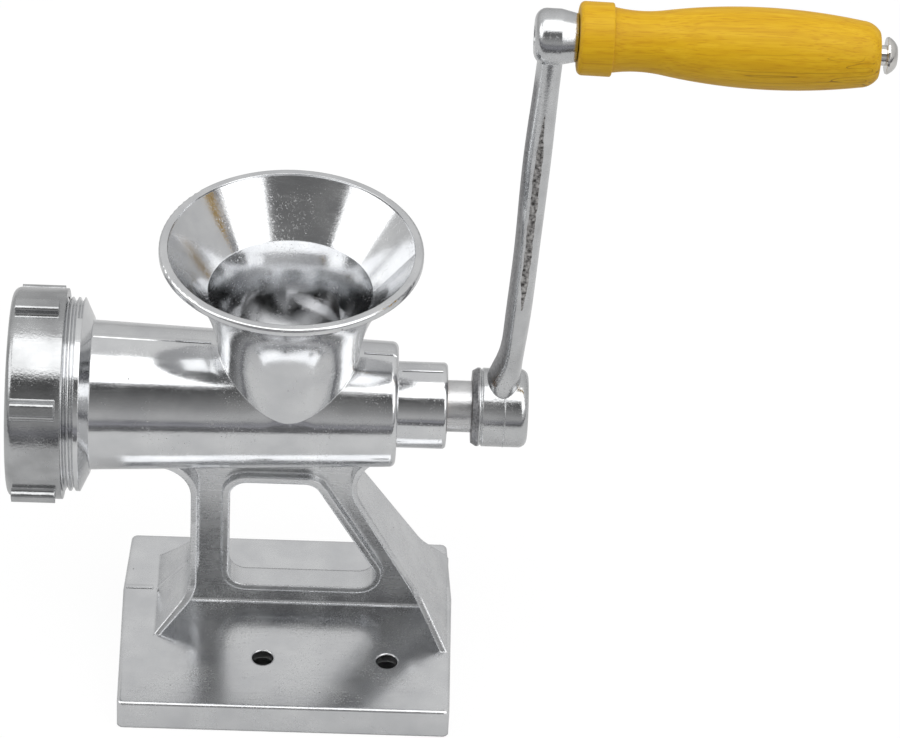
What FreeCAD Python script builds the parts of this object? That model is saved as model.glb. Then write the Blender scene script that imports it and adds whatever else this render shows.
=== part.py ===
import FreeCAD, Part
import Sketcher
import math
import os

# Hand crank meat grinder, millimetres
# X runs along the barrel towards the crank, Y away from the viewer, Z up.
# The origin lies on the table under the barrel.

doc = FreeCAD.newDocument("hand_crank_meat_grinder")
sheet = doc.addObject("Spreadsheet::Sheet", "dims")

SIZES = [
    # Base tray
    ("base_half_mid", 52.8),
    ("base_half_front", 52.0),
    ("base_half_back", 51.3),
    ("base_mid_y", 3.0),
    ("base_front", 51.1),
    ("base_back", 29.2),
    ("base_height", 10.2),
    ("base_top_wall", 3.2),
    ("base_side_wall", 3.2),
    ("base_corner", 2.0),
    ("base_edge", 1.1),
    ("base_rib", 5.0),
    ("bolt_hole_r", 3.4),
    ("bolt_y", -28.2),
    ("bolt_left_x", -7.1),
    ("bolt_spacing", 39.3),
    # Stand
    ("web_thick", 3.2),
    ("web_root", 0.8),
    ("bead_thick", 8.4),
    ("bead_width", 2.3),
    ("window_left", -19.0),
    ("window_low", 19.4),
    ("window_drop", 30.4),
    ("window_right_low", 31.5),
    ("window_lean", 0.558),
    ("window_round", 5.5),
    ("flange_thick", 2.1),
    ("left_flange_x", -31.0),
    ("left_foot_x", -42.0),
    ("left_foot_rise", 12.8),
    ("left_foot_half", 19.0),
    ("left_mid_half", 12.0),
    ("left_top_half", 8.5),
    ("left_flare_drop", 32.9),
    ("left_flare_run", 10.5),
    ("left_flare_rise", 11.3),
    ("left_flare_curve", 11.3),
    ("flare_run", 12.5),
    ("flare_round", 11.0),
    ("right_foot_x", 51.9),
    ("right_foot_half", 23.1),
    ("right_mid_half", 13.6),
    ("right_mid_rise", 15.0),
    ("right_top_half", 7.3),
    ("right_lean", 0.604),
    ("right_flare_drop", 26.6),
    ("right_flange_run", 2.2),
    # Barrel, measured from the front of the thread to the rear boss
    ("axis_height", 92.6),
    ("barrel_front_x", -62.0),
    ("barrel_front_r", 23.2),
    ("barrel_rear_x", 32.2),
    ("barrel_rear_r", 19.4),
    ("barrel_wall", 3.1),
    ("barrel_round", 2.0),
    ("rear_wall", 5.2),
    ("boss_r", 13.4),
    ("boss_length", 15.4),
    ("boss_round", 1.2),
    ("flange_cone_x", -64.8),
    ("flange_root_step", 1.0),
    ("mouth_x", -82.5),
    # Thread of the ring nut
    ("thread_crest_r", 30.0),
    ("mouth_wall", 2.2),
    ("thread_depth", 1.1),
    ("thread_pitch", 2.0),
    ("thread_crest_flat", 0.5),
    ("thread_root_flat", 0.4),
    ("thread_gap", 0.3),
    # Hopper
    ("hopper_x", -1.7),
    ("hopper_root_r", 18.4),
    ("hopper_neck_r", 22.6),
    ("hopper_neck_rise", 26.4),
    ("hopper_lip_out", 0.9),
    ("hopper_bell_rise", 57.6),
    ("hopper_bell_curve", 54.0),
    ("hopper_rim_r", 40.0),
    ("hopper_lip", 2.1),
    ("hopper_wall", 2.4),
    ("funnel_crease_r", 25.0),
    ("funnel_crease_drop", 14.2),
    ("funnel_curve", 60.0),
    ("hopper_lip_round", 0.9),
    # Cutting set
    ("plate_thick", 5.0),
    ("plate_proud", 1.0),
    ("seat_gap", 0.2),
    ("plate_land", 2.1),
    ("plate_hole_r", 2.2),
    ("plate_ring_one", 9.2),
    ("plate_margin", 6.5),
    ("spigot_r", 4.0),
    ("running_gap", 0.06),
    ("spigot_proud", 1.0),
    ("key_r", 1.0),
    ("key_depth", 4.0),
    ("key_reach", 3.5),
    ("key_gap", 0.15),
    ("knife_thick", 5.4),
    ("knife_tip_gap", 0.8),
    ("knife_hub_r", 9.5),
    ("knife_arm", 7.0),
    ("knife_square", 9.0),
    ("knife_gap", 0.1),
    ("face_gap", 0.05),
    ("stud_length", 13.0),
    # Ring nut
    ("nut_wall", 2.3),
    ("nut_lug_rise", 2.8),
    ("nut_lug_width", 5.2),
    ("nut_lug_round", 1.3),
    ("nut_lug_root", 1.3),
    ("nut_rim", 1.7),
    ("nut_length", 16.9),
    ("nut_lip", 3.5),
    ("nut_lip_cover", 3.0),
    ("nut_round", 2.6),
    # Auger and drive
    ("flight_pitch", 21.0),
    ("flight_thick", 4.6),
    ("flight_gap", 0.6),
    ("core_front_r", 8.6),
    ("core_rear_r", 10.2),
    ("collar_r", 14.0),
    ("collar_thick", 3.0),
    ("washer_thick", 1.5),
    ("washer_r", 15.0),
    ("shaft_r", 8.0),
    ("bush_wall", 2.1),
    ("shaft_stub", 7.7),
    ("drive_square", 11.0),
    ("drive_gap", 0.08),
    # Crank
    ("crank_boss_r", 12.2),
    ("crank_boss_length", 17.3),
    ("crank_boss_round", 2.6),
    ("crank_boss_chamfer", 1.6),
    ("crank_ring", 2.4),
    ("crank_groove", 0.5),
    ("crank_recess_depth", 6.2),
    ("crank_recess_r", 8.4),
    ("crank_throw", 140.2),
    ("arm_set", 10.3),
    ("arm_lean_mid", 4.0),
    ("arm_lean_top", 6.6),
    ("arm_width", 7.6),
    ("arm_mid_width", 8.0),
    ("arm_knee_width", 9.2),
    ("arm_foot_width", 10.3),
    ("arm_low_depth", 15.0),
    ("arm_top_depth", 11.0),
    ("eye_set", 1.4),
    ("eye_length", 7.5),
    ("eye_r", 8.2),
    ("eye_round", 3.4),
    ("eye_nose", 4.9),
    ("eye_nose_r", 7.1),
    ("handle_droop", 1.6),
    ("screw_r", 2.5),
    ("screw_length", 16.0),
    ("screw_head_r", 4.8),
    ("screw_head", 3.2),
    ("screw_slot", 1.2),
    ("screw_slot_depth", 1.2),
    ("crank_washer_r", 8.0),
    ("crank_washer_thick", 1.2),
    # Handle
    ("pin_r", 3.0),
    ("pin_head_r", 5.5),
    ("pin_head", 3.1),
    ("pin_gap", 0.08),
    ("grip_end_gap", 0.3),
    ("grip_head_gap", 2.2),
    ("grip_length", 87.7),
    ("grip_collar_r", 10.8),
    ("grip_collar", 10.0),
    ("grip_collar_round", 1.6),
    ("grip_neck_r", 9.3),
    ("grip_neck_in", 9.6),
    ("grip_neck_at", 24.0),
    ("grip_neck_curve", 42.0),
    ("grip_belly_curve", 179.0),
    ("grip_tail_r", 9.75),
    ("grip_tail", 5.0),
    ("grip_tail_curve", 6.5),
    ("grip_end_r", 7.0),
]

for row, (alias, size) in enumerate(SIZES, start=1):
    sheet.set("A%d" % row, alias)
    sheet.set("B%d" % row, str(size))
    sheet.setAlias("B%d" % row, alias)
doc.recompute()

ALIASES = [alias for alias, size in SIZES]

# Sizes that follow from the ones in the sheet
FOLLOWS = {
    "plate_r": "(thread_crest_r - thread_depth - mouth_wall - seat_gap)",
    "nut_r": "(thread_crest_r + thread_gap + nut_wall)",
    "nut_lug_r": "(nut_r + nut_lug_rise)",
    "nut_opening_r": "(plate_r - nut_lip_cover)",
    "key_ring_r": "(plate_r - key_r)",
    "knife_room_r": "(plate_r - plate_land)",
    "knife_r": "(knife_room_r - knife_tip_gap)",
    "plate_ring_three": "(plate_r - plate_margin)",
    "plate_ring_two": "((plate_ring_one + plate_ring_three) / 2)",
    "left_flare_z": "(axis_height - left_flare_drop)",
    "right_flare_z": "(axis_height - right_flare_drop)",
    "right_flare_x": "(right_foot_x - right_lean * (right_flare_z - base_height))",
    "window_high": "(axis_height - window_drop)",
    "window_right_high": "(window_right_low - window_lean * (window_high - window_low))",
    "hopper_neck_z": "(axis_height + hopper_neck_rise)",
    "hopper_bell_z": "(axis_height + hopper_bell_rise)",
    "hopper_bell_r": "(hopper_rim_r - hopper_lip_out)",
    "hopper_rim_z": "(hopper_bell_z + hopper_lip)",
    "flange_cone_r": "(barrel_front_r + flange_root_step)",
    "crank_x": "(barrel_rear_x + boss_length + shaft_stub)",
    "arm_low_x": "(crank_x + arm_set)",
    "arm_mid_x": "(arm_low_x + arm_lean_mid)",
    "arm_top_x": "(arm_low_x + arm_lean_top)",
    "eye_x": "(arm_low_x + eye_set)",
}


def formula(text):
    """Writes out the sizes that follow, and puts the sheet's name before each alias."""
    words = []
    word = ""
    for letter in text + " ":
        if letter.isalnum() or letter == "_":
            word += letter
            continue
        if word in FOLLOWS:
            word = formula(FOLLOWS[word])
        elif word in ALIASES:
            word = "dims." + word
        words.append(word)
        words.append(letter)
        word = ""
    return "".join(words).strip()


def number(text):
    """The value of a formula at the sizes in the sheet."""
    found = sheet.evalExpression(formula(text))
    return float(getattr(found, "Value", found))


def bind(thing, prop, text):
    thing.setExpression(prop, formula(text))


def place(thing, x="0", y="0", z="0"):
    for axis, text in (("x", x), ("y", y), ("z", z)):
        if text != "0":
            bind(thing, "Placement.Base." + axis, text)
    return thing


UPRIGHT = FreeCAD.Placement(FreeCAD.Vector(0, 0, 0), FreeCAD.Rotation(FreeCAD.Vector(1, 0, 0), 90))
ACROSS = FreeCAD.Placement(FreeCAD.Vector(0, 0, 0), FreeCAD.Rotation(0.5, 0.5, 0.5, 0.5))
LEVEL = FreeCAD.Placement()


def draw(sketch, corners):
    """Draws a closed outline. A corner is (x, y), (x, y, "round", radius), or
    (x, y, "arc", radius, side) when the edge that leaves it is an arc."""
    points = [FreeCAD.Vector(number(c[0]), number(c[1]), 0) for c in corners]
    count = len(corners)
    marks = []
    for corner, point in zip(corners, points):
        mark = sketch.addGeometry(Part.Point(point), True)
        held = sketch.addConstraint(Sketcher.Constraint("DistanceX", mark, 1, point.x))
        bind(sketch, "Constraints[%d]" % held, corner[0])
        held = sketch.addConstraint(Sketcher.Constraint("DistanceY", mark, 1, point.y))
        bind(sketch, "Constraints[%d]" % held, corner[1])
        marks.append(mark)
    starts = []
    ends = []
    for i, corner in enumerate(corners):
        here = points[i]
        after = points[(i + 1) % count]
        along = (after - here).normalize()
        start = FreeCAD.Vector(here)
        end = FreeCAD.Vector(after)
        for k, point, sign in ((i, start, 1), ((i + 1) % count, end, -1)):
            if len(corners[k]) > 3 and corners[k][2] == "round":
                back = (points[k - 1] - points[k]).normalize()
                ahead = (points[(k + 1) % count] - points[k]).normalize()
                half = back.getAngle(ahead) / 2
                reach = number(corners[k][3]) / math.tan(half)
                move = along * (sign * reach)
                point.x += move.x
                point.y += move.y
        starts.append(start)
        ends.append(end)
    edges = []
    for i, corner in enumerate(corners):
        if len(corner) > 3 and corner[2] == "arc":
            radius = number(corner[3])
            chord = ends[i] - starts[i]
            left = FreeCAD.Vector(-chord.y, chord.x, 0).normalize()
            rise = (radius ** 2 - (chord.Length / 2) ** 2) ** 0.5
            middle = (starts[i] + ends[i]) * 0.5 - left * (corner[4] * rise)
            top = middle + left * (corner[4] * radius)
            shape = Part.Arc(starts[i], top, ends[i])
            edge = sketch.addGeometry(shape, False)
            flipped = (sketch.getPoint(edge, 1) - starts[i]).Length > 1e-6
            edges.append((edge, 2, 1) if flipped else (edge, 1, 2))
            held = sketch.addConstraint(Sketcher.Constraint("Radius", edge, radius))
            bind(sketch, "Constraints[%d]" % held, corner[3])
        else:
            edge = sketch.addGeometry(Part.LineSegment(starts[i], ends[i]), False)
            edges.append((edge, 1, 2))
    for i, corner in enumerate(corners):
        before = edges[i - 1]
        here = edges[i]
        if len(corner) > 3 and corner[2] == "round":
            radius = number(corner[3])
            back = (points[i - 1] - points[i]).normalize()
            ahead = (points[(i + 1) % count] - points[i]).normalize()
            half = back.getAngle(ahead) / 2
            reach = radius / math.sin(half)
            top = points[i] + (back + ahead).normalize() * (reach - radius)
            edge = sketch.addGeometry(Part.Arc(ends[i - 1], top, starts[i]), False)
            flipped = (sketch.getPoint(edge, 1) - ends[i - 1]).Length > 1e-6
            first, last = (2, 1) if flipped else (1, 2)
            sketch.addConstraint(Sketcher.Constraint("PointOnObject", marks[i], 1, before[0]))
            sketch.addConstraint(Sketcher.Constraint("PointOnObject", marks[i], 1, here[0]))
            sketch.addConstraint(Sketcher.Constraint("Tangent", before[0], before[2], edge, first))
            sketch.addConstraint(Sketcher.Constraint("Tangent", here[0], here[1], edge, last))
            held = sketch.addConstraint(Sketcher.Constraint("Radius", edge, radius))
            bind(sketch, "Constraints[%d]" % held, corner[3])
        else:
            sketch.addConstraint(Sketcher.Constraint("Coincident", before[0], before[2], marks[i], 1))
            sketch.addConstraint(Sketcher.Constraint("Coincident", here[0], here[1], marks[i], 1))
    return sketch


def outline(name, plane, corners):
    sketch = doc.addObject("Sketcher::SketchObject", name)
    sketch.Placement = plane
    return draw(sketch, corners)


def turned(name, corners, axis=(1, 0, 0)):
    """A solid turned about X, or about Z, from half a profile."""
    sketch = outline(name + "_profile", UPRIGHT, corners)
    solid = doc.addObject("Part::Revolution", name)
    solid.Source = sketch
    solid.Axis = axis
    solid.Base = (0, 0, 0)
    solid.Angle = 360
    solid.Solid = True
    return solid


def plate(name, plane, corners, ahead, behind="0"):
    """A flat outline given thickness along its normal."""
    sketch = outline(name + "_outline", plane, corners)
    solid = doc.addObject("Part::Extrusion", name)
    solid.Base = sketch
    solid.DirMode = "Normal"
    bind(solid, "LengthFwd", ahead)
    bind(solid, "LengthRev", behind)
    solid.Solid = True
    return solid


def cylinder(name, radius, length, x="0", y="0", z="0", along_x=True):
    solid = doc.addObject("Part::Cylinder", name)
    bind(solid, "Radius", radius)
    bind(solid, "Height", length)
    if along_x:
        solid.Placement.Rotation = FreeCAD.Rotation(FreeCAD.Vector(0, 1, 0), 90)
    return place(solid, x, y, z)


def box(name, length, width, height, x="0", y="0", z="0"):
    solid = doc.addObject("Part::Box", name)
    bind(solid, "Length", length)
    bind(solid, "Width", width)
    bind(solid, "Height", height)
    return place(solid, x, y, z)


def fuse(name, pieces, refine=True):
    joined = doc.addObject("Part::MultiFuse", name)
    joined.Shapes = pieces
    joined.Refine = refine
    return joined


def cut(name, base, tool):
    made = doc.addObject("Part::Cut", name)
    made.Base = base
    made.Tool = tool
    return made


def common(name, pieces):
    shared = doc.addObject("Part::MultiCommon", name)
    shared.Shapes = pieces
    return shared


def screw_ridge(name, inner, outer, inner_width, outer_width, pitch, start, length, radius):
    """A ridge that winds round X as a right-hand thread, for a cut or a fuse."""
    helix = doc.addObject("Part::Helix", name + "_helix")
    bind(helix, "Pitch", pitch)
    bind(helix, "Height", length)
    bind(helix, "Radius", radius)
    helix.SegmentLength = 0.5
    section = outline(
        name + "_section",
        UPRIGHT,
        [
            (inner, "-(%s) / 2" % inner_width),
            (outer, "-(%s) / 2" % outer_width),
            (outer, "(%s) / 2" % outer_width),
            (inner, "(%s) / 2" % inner_width),
        ],
    )
    ridge = doc.addObject("Part::Sweep", name)
    ridge.Sections = [section]
    ridge.Spine = (helix, [])
    ridge.Solid = True
    ridge.Frenet = True
    lay = FreeCAD.Rotation(FreeCAD.Vector(0, 1, 0), 90)
    helix.Placement.Rotation = lay
    section.Placement.Rotation = lay.multiply(UPRIGHT.Rotation)
    place(helix, start, "0", "axis_height")
    place(section, start, "0", "axis_height")
    return ridge


# Stations along the barrel that several pieces share
PLATE_BACK = "(mouth_x - plate_proud + plate_thick)"
PLATE_FRONT = "(mouth_x - plate_proud)"
KNIFE_FRONT = "(mouth_x - plate_proud + plate_thick + face_gap)"
KNIFE_BACK = "(mouth_x - plate_proud + plate_thick + face_gap + knife_thick)"
AUGER_FRONT = KNIFE_BACK
ROOM_BACK = "(mouth_x - plate_proud + plate_thick + knife_thick + 6 * seat_gap)"
REAR_INSIDE = "(barrel_rear_x - rear_wall)"
COLLAR_BACK = "(barrel_rear_x - rear_wall - washer_thick - face_gap)"
COLLAR_FRONT = "(barrel_rear_x - rear_wall - washer_thick - face_gap - collar_thick)"
BOSS_END = "(barrel_rear_x + boss_length)"
CRANK_X = "crank_x"
CRANK_END = "(barrel_rear_x + boss_length + shaft_stub + crank_boss_length)"
RECESS_X = "(barrel_rear_x + boss_length + shaft_stub + crank_boss_length - crank_recess_depth)"
SHAFT_END = "(barrel_rear_x + boss_length + shaft_stub + crank_boss_length - crank_recess_depth - 0.4)"
BARREL_SLOPE = "((barrel_front_r - barrel_rear_r) / (barrel_rear_x - barrel_front_x))"
BORE_FRONT_R = "(barrel_front_r - barrel_wall - %s * (%s - barrel_front_x))" % (
    BARREL_SLOPE,
    ROOM_BACK,
)
BORE_REAR_R = "(barrel_rear_r - barrel_wall + %s * rear_wall)" % BARREL_SLOPE
BASE_TOP = "base_height"
EYE_Z = "(axis_height + crank_throw)"

# Body casting: base tray
base_slab = plate(
    "base_slab",
    LEVEL,
    [
        ("-base_half_mid", "base_mid_y"),
        ("-base_half_front", "-base_front", "round", "base_corner"),
        ("base_half_front", "-base_front", "round", "base_corner"),
        ("base_half_mid", "base_mid_y"),
        ("base_half_back", "base_back", "round", "base_corner"),
        ("-base_half_back", "base_back", "round", "base_corner"),
    ],
    "base_height",
)
doc.recompute()
base_round = doc.addObject("Part::Fillet", "base_round")
base_round.Base = base_slab
rim = []
for place_in_list, edge in enumerate(base_slab.Shape.Edges, start=1):
    if min(end.Z for end in edge.Vertexes) > number("base_height") - 0.01:
        rim.append((place_in_list, number("base_edge"), number("base_edge")))
base_round.Edges = rim
tray_front = plate(
    "tray_front",
    LEVEL,
    [
        ("-base_half_mid + base_side_wall", "-base_rib / 2"),
        ("-base_half_front + base_side_wall", "-base_front + base_side_wall", "round", "base_corner"),
        ("base_half_front - base_side_wall", "-base_front + base_side_wall", "round", "base_corner"),
        ("base_half_mid - base_side_wall", "-base_rib / 2"),
    ],
    "base_height - base_top_wall",
    "1",
)
tray_back = plate(
    "tray_back",
    LEVEL,
    [
        ("-base_half_mid + base_side_wall", "base_rib / 2"),
        ("base_half_mid - base_side_wall", "base_rib / 2"),
        ("base_half_back - base_side_wall", "base_back - base_side_wall", "round", "base_corner"),
        ("-base_half_back + base_side_wall", "base_back - base_side_wall", "round", "base_corner"),
    ],
    "base_height - base_top_wall",
    "1",
)
bolt_left = cylinder(
    "bolt_left", "bolt_hole_r", "base_height + 2", "bolt_left_x", "bolt_y", "-1", False
)
bolt_right = cylinder(
    "bolt_right", "bolt_hole_r", "base_height + 2", "bolt_left_x + bolt_spacing", "bolt_y", "-1", False
)

# Body casting: stand with a web, a beaded window and two flanges
FLANGE_TOP = "(axis_height - barrel_rear_r + 4)"
web = plate(
    "web",
    UPRIGHT,
    [
        ("left_foot_x", "base_height - 1"),
        ("right_foot_x - right_flange_run / 2", "base_height - 1"),
        (
            "right_flare_x - right_flange_run / 2 + right_lean * 0.65 * flare_round",
            "right_flare_z - 0.65 * flare_round",
        ),
        ("right_flare_x + 0.1 * flare_round", "right_flare_z"),
        ("right_flare_x + flare_run / 2", FLANGE_TOP),
        ("left_flange_x - 0.6 * left_flare_run", FLANGE_TOP),
        ("left_flange_x + flange_thick / 2", "left_flare_z"),
        ("left_flange_x + flange_thick / 2", "base_height + left_foot_rise"),
    ],
    "web_thick / 2",
    "web_thick / 2",
)
web_root = plate(
    "web_foot",
    ACROSS,
    [
        ("-web_thick / 2 - web_root", "base_height - 1"),
        ("web_thick / 2 + web_root", "base_height - 1"),
        ("web_thick / 2 + web_root", "base_height", "arc", "web_root", 1),
        ("web_thick / 2", "base_height + web_root"),
        ("-web_thick / 2", "base_height + web_root", "arc", "web_root", 1),
        ("-web_thick / 2 - web_root", "base_height"),
    ],
    "right_foot_x - 2 * right_flange_run",
    "-left_foot_x - 2 * flange_thick",
)
BEAD_ROUND = "window_round + bead_width"
bead = plate(
    "bead",
    UPRIGHT,
    [
        ("window_left - bead_width", "window_low - bead_width", "round", BEAD_ROUND),
        ("window_right_low + 1.7 * bead_width", "window_low - bead_width", "round", BEAD_ROUND),
        ("window_right_high + 0.6 * bead_width", "window_high + bead_width", "round", BEAD_ROUND),
        ("window_left - bead_width", "window_high + bead_width", "round", BEAD_ROUND),
    ],
    "bead_thick / 2",
    "bead_thick / 2",
)
window = plate(
    "window",
    UPRIGHT,
    [
        ("window_left", "window_low", "round", "window_round"),
        ("window_right_low", "window_low", "round", "window_round"),
        ("window_right_high", "window_high", "round", "window_round"),
        ("window_left", "window_high", "round", "window_round"),
    ],
    "bead_thick + base_back",
    "bead_thick + base_back",
)
left_side = plate(
    "left_flange_side",
    UPRIGHT,
    [
        ("left_foot_x - 0.8", "base_height - 1"),
        ("left_foot_x - 0.8 + 0.9 * flange_thick", "base_height - 1"),
        ("left_flange_x + flange_thick", "base_height + left_foot_rise - 1", "round", "flare_round"),
        (
            "left_flange_x + flange_thick",
            "left_flare_z",
            "arc",
            "left_flare_curve + flange_thick",
            -1,
        ),
        ("left_flange_x - left_flare_run", "left_flare_z + left_flare_rise + flange_thick"),
        ("left_flange_x - left_flare_run", "left_flare_z + left_flare_rise", "arc", "left_flare_curve", 1),
        ("left_flange_x", "left_flare_z"),
        ("left_flange_x", "base_height + left_foot_rise", "round", "flare_round + flange_thick"),
    ],
    "left_foot_half + 5",
    "left_foot_half + 5",
)
left_front = plate(
    "left_flange_front",
    ACROSS,
    [
        ("-left_foot_half", "base_height - 2"),
        ("left_foot_half", "base_height - 2"),
        ("left_foot_half", "base_height"),
        ("left_mid_half", "base_height + left_foot_rise", "round", "flare_round"),
        ("left_top_half", "left_flare_z - left_flare_rise"),
        ("left_top_half", FLANGE_TOP + " + 5"),
        ("-left_top_half", FLANGE_TOP + " + 5"),
        ("-left_top_half", "left_flare_z - left_flare_rise"),
        ("-left_mid_half", "base_height + left_foot_rise", "round", "flare_round"),
        ("-left_foot_half", "base_height"),
    ],
    "base_half_mid",
    "base_half_mid",
)
left_flange = common("left_flange", [left_side, left_front])
right_side = plate(
    "right_flange_side",
    UPRIGHT,
    [
        ("right_foot_x - right_flange_run", "base_height - 1"),
        ("right_foot_x", "base_height - 1"),
        ("right_flare_x", "right_flare_z", "round", "flare_round"),
        ("right_flare_x + 0.8 * flare_run", FLANGE_TOP),
        ("right_flare_x + 0.8 * flare_run - right_flange_run", FLANGE_TOP),
        (
            "right_flare_x - right_flange_run",
            "right_flare_z",
            "round",
            "flare_round + right_flange_run",
        ),
    ],
    "right_foot_half + 5",
    "right_foot_half + 5",
)
right_front = plate(
    "right_flange_front",
    ACROSS,
    [
        ("-right_foot_half", "base_height - 2"),
        ("right_foot_half", "base_height - 2"),
        ("right_foot_half", "base_height"),
        ("right_mid_half", "base_height + right_mid_rise", "round", "flare_round"),
        ("right_top_half", "right_flare_z"),
        ("right_top_half", FLANGE_TOP + " + 2"),
        ("-right_top_half", FLANGE_TOP + " + 2"),
        ("-right_top_half", "right_flare_z"),
        ("-right_mid_half", "base_height + right_mid_rise", "round", "flare_round"),
        ("-right_foot_half", "base_height"),
    ],
    "base_half_mid + 5",
    "base_half_mid",
)
right_flange = common("right_flange", [right_side, right_front])

# Body casting: barrel with threaded mouth and rear boss
barrel = turned(
    "barrel",
    [
        ("mouth_x", "0"),
        (BOSS_END, "0"),
        (BOSS_END, "boss_r", "round", "boss_round"),
        ("barrel_rear_x", "boss_r"),
        ("barrel_rear_x", "barrel_rear_r", "round", "barrel_round"),
        ("barrel_front_x", "barrel_front_r"),
        ("barrel_front_x", "flange_cone_r"),
        ("flange_cone_x", "thread_crest_r"),
        ("mouth_x", "thread_crest_r"),
    ],
)
place(barrel, "0", "0", "axis_height")
bore = turned(
    "bore",
    [
        ("mouth_x - 1", "0"),
        (BOSS_END + " + 1", "0"),
        (BOSS_END + " + 1", "shaft_r + running_gap + bush_wall"),
        (REAR_INSIDE, "shaft_r + running_gap + bush_wall"),
        (REAR_INSIDE, BORE_REAR_R),
        (ROOM_BACK, BORE_FRONT_R),
        (ROOM_BACK, "knife_room_r"),
        (PLATE_BACK, "knife_room_r"),
        (PLATE_BACK, "plate_r + seat_gap"),
        ("mouth_x - 1", "plate_r + seat_gap"),
    ],
)
place(bore, "0", "0", "axis_height")
key_seat = cylinder(
    "key_seat", "key_r", "key_depth + 1", PLATE_BACK + " - 1", "0", "axis_height + key_ring_r"
)

# Body casting: hopper
hopper = turned(
    "hopper",
    [
        ("0", "axis_height"),
        ("hopper_root_r", "axis_height"),
        ("hopper_neck_r", "hopper_neck_z", "arc", "hopper_bell_curve", 1),
        ("hopper_bell_r", "hopper_bell_z"),
        ("hopper_rim_r", "hopper_bell_z"),
        ("hopper_rim_r", "hopper_rim_z", "round", "hopper_lip_round"),
        ("0", "hopper_rim_z"),
    ],
    (0, 0, 1),
)
place(hopper, "hopper_x")
funnel = turned(
    "funnel",
    [
        ("0", "axis_height - 2"),
        ("hopper_root_r - hopper_wall", "axis_height - 2"),
        (
            "hopper_neck_r - hopper_wall",
            "hopper_neck_z + 0.2 * hopper_wall",
            "arc",
            "funnel_curve",
            1,
        ),
        ("funnel_crease_r", "hopper_bell_z - funnel_crease_drop"),
        ("hopper_bell_r - 0.75 * hopper_wall", "hopper_bell_z + 0.65 * hopper_wall"),
        ("hopper_rim_r - hopper_wall", "hopper_rim_z + 1"),
        ("0", "hopper_rim_z + 1"),
    ],
    (0, 0, 1),
)
place(funnel, "hopper_x")

thread_groove = screw_ridge(
    "thread_groove",
    "thread_crest_r - thread_depth",
    "thread_crest_r + thread_gap",
    "thread_root_flat",
    "thread_pitch - thread_crest_flat"
    " + (thread_pitch - thread_crest_flat - thread_root_flat) * thread_gap / thread_depth",
    "thread_pitch",
    "mouth_x - 2 * thread_pitch",
    "flange_cone_x - mouth_x + 1.65 * thread_pitch",
    "thread_crest_r",
)

solid_casting = fuse(
    "solid_casting",
    [base_round, web, web_root, bead, left_flange, right_flange, barrel, hopper],
)
hollows = fuse(
    "hollows",
    [tray_front, tray_back, bolt_left, bolt_right, window, bore, funnel, key_seat],
)
hollow_casting = cut("hollow_casting", solid_casting, hollows)
body_casting = cut("body_casting", hollow_casting, thread_groove)

# Rear bush, thrust washer and the pin that keys the hole plate
rear_bush = turned(
    "rear_bush",
    [
        (REAR_INSIDE, "shaft_r + running_gap"),
        (BOSS_END, "shaft_r + running_gap"),
        (BOSS_END, "shaft_r + running_gap + bush_wall"),
        (REAR_INSIDE, "shaft_r + running_gap + bush_wall"),
    ],
)
place(rear_bush, "0", "0", "axis_height")
thrust_washer = turned(
    "thrust_washer",
    [
        (REAR_INSIDE + " - washer_thick", "shaft_r + 2 * running_gap"),
        (REAR_INSIDE, "shaft_r + 2 * running_gap"),
        (REAR_INSIDE, "washer_r"),
        (REAR_INSIDE + " - washer_thick", "washer_r"),
    ],
)
place(thrust_washer, "0", "0", "axis_height")
plate_key_pin = cylinder(
    "plate_key_pin",
    "key_r",
    "key_depth + key_reach",
    PLATE_BACK + " - key_reach",
    "0",
    "axis_height + key_ring_r",
)

# Ring nut with six grip lugs and its own thread
NUT_FRONT = "(mouth_x - plate_proud - nut_lip)"
NUT_BACK = "(mouth_x - plate_proud - nut_lip + nut_length)"
nut_ring = turned(
    "nut_ring",
    [
        (NUT_FRONT, "nut_opening_r"),
        (PLATE_FRONT, "nut_opening_r"),
        (PLATE_FRONT, "thread_crest_r + thread_gap"),
        (NUT_BACK, "thread_crest_r + thread_gap"),
        (NUT_BACK, "nut_r"),
        (NUT_FRONT, "nut_r", "round", "nut_round"),
    ],
)
place(nut_ring, "0", "0", "axis_height")
nut_lugs = []
for turn in range(6):
    lug = plate(
        "nut_lug_%d" % (turn + 1),
        ACROSS,
        [
            ("-nut_lug_width / 2 - nut_lug_root", "nut_r - 0.7 * nut_wall"),
            ("nut_lug_width / 2 + nut_lug_root", "nut_r - 0.7 * nut_wall"),
            ("nut_lug_width / 2 + nut_lug_root", "nut_r - 0.4", "arc", "1.2 * nut_lug_root", 1),
            ("nut_lug_width / 2", "nut_r + 0.45 * nut_lug_rise"),
            ("nut_lug_width / 2 - 0.2", "nut_lug_r", "round", "nut_lug_round"),
            ("-nut_lug_width / 2 + 0.2", "nut_lug_r", "round", "nut_lug_round"),
            ("-nut_lug_width / 2", "nut_r + 0.45 * nut_lug_rise", "arc", "1.2 * nut_lug_root", 1),
            ("-nut_lug_width / 2 - nut_lug_root", "nut_r - 0.4"),
        ],
        "nut_length - 0.7 * nut_round - nut_rim",
    )
    lug.Placement.Rotation = FreeCAD.Rotation(FreeCAD.Vector(1, 0, 0), 60 * turn)
    place(lug, NUT_FRONT + " + 0.7 * nut_round", "0", "axis_height")
    nut_lugs.append(lug)
nut_ridge = screw_ridge(
    "nut_ridge",
    "thread_crest_r - thread_depth + thread_gap",
    "thread_crest_r + thread_gap + 0.5",
    "thread_root_flat - 0.5 * thread_gap",
    "thread_pitch - thread_crest_flat - 0.5 * thread_gap",
    "thread_pitch",
    "mouth_x - 2 * thread_pitch",
    "nut_length + 2 * thread_pitch",
    "thread_crest_r",
)
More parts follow.
